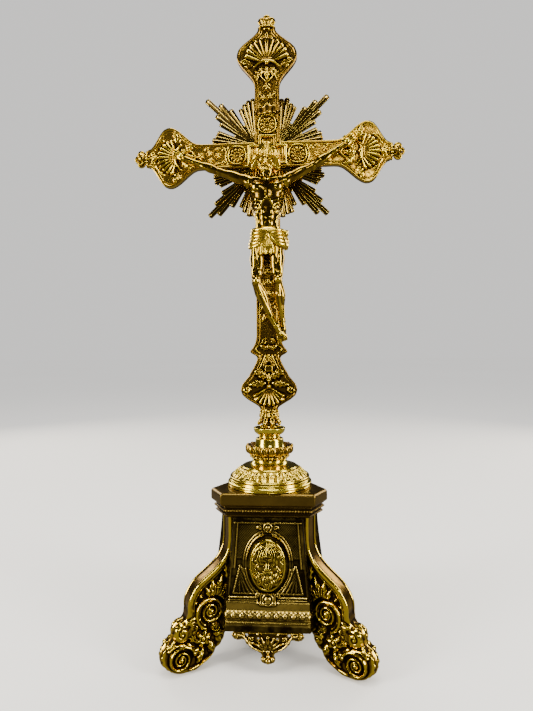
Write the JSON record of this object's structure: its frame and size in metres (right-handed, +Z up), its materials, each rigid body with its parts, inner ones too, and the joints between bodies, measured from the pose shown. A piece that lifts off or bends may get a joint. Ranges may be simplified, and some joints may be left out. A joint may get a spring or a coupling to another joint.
{
  "type": "altar cross",
  "caption": "Standing altar cross: lobed gilt-brass Latin cross with corpus and ray glory, on a turned stem and a scroll-footed triangular pedestal.",
  "frame": {"origin": "centre of the bounding box's base, on the floor between the feet; the stem stands 24.4 mm towards the front of it", "axes": "+Z up along the stem, -Y towards the front with the corpus, +X to the viewer's right"},
  "size_m": [0.267, 0.1715, 0.6196],
  "materials": {
    "gilt_brass": "polished and lacquered, darker in the recesses",
    "satin_brass": "satin",
    "dark_brass": "toned olive-brown ground with polished relief"
  },
  "bodies": {
    "root": {"apron_front": "gilt_brass", "apron_left": "gilt_brass", "apron_right": "gilt_brass", "base_disc": "gilt_brass", "bottom_plate": "satin_brass", "corpus_arm_left": "gilt_brass", "corpus_arm_right": "gilt_brass", "corpus_body": "gilt_brass", "cross_plate": "gilt_brass", "crown_of_thorns": "gilt_brass", "cup": "gilt_brass", "finial_left": "gilt_brass", "finial_right": "gilt_brass", "finial_top": "gilt_brass", "glory_lower_left": "gilt_brass", "glory_lower_right": "gilt_brass", "glory_upper_left": "gilt_brass", "glory_upper_right": "gilt_brass", "knop_ring": "gilt_brass", "leaf_skirt": "gilt_brass", "leaf_socket": "gilt_brass", "leg_back": "gilt_brass", "leg_front_left": "gilt_brass", "leg_front_right": "gilt_brass", "leg_screw_back": "satin_brass", "leg_screw_front_left": "satin_brass", "leg_screw_front_right": "satin_brass", "lower_bell": "gilt_brass", "medallion_front": "gilt_brass", "medallion_left": "gilt_brass", "medallion_right": "gilt_brass", "nail_feet": "gilt_brass", "nail_left": "gilt_brass", "nail_right": "gilt_brass", "nut": "satin_brass", "panel_front": "dark_brass", "panel_left": "dark_brass", "panel_right": "dark_brass", "ring_collar": "gilt_brass", "rosette_left": "gilt_brass", "rosette_right": "gilt_brass", "rosette_top": "gilt_brass", "tie_rod": "satin_brass", "titulus": "gilt_brass", "top_plate": "satin_brass", "upper_bell": "gilt_brass", "washer": "satin_brass"}
  },
  "joints": []
}
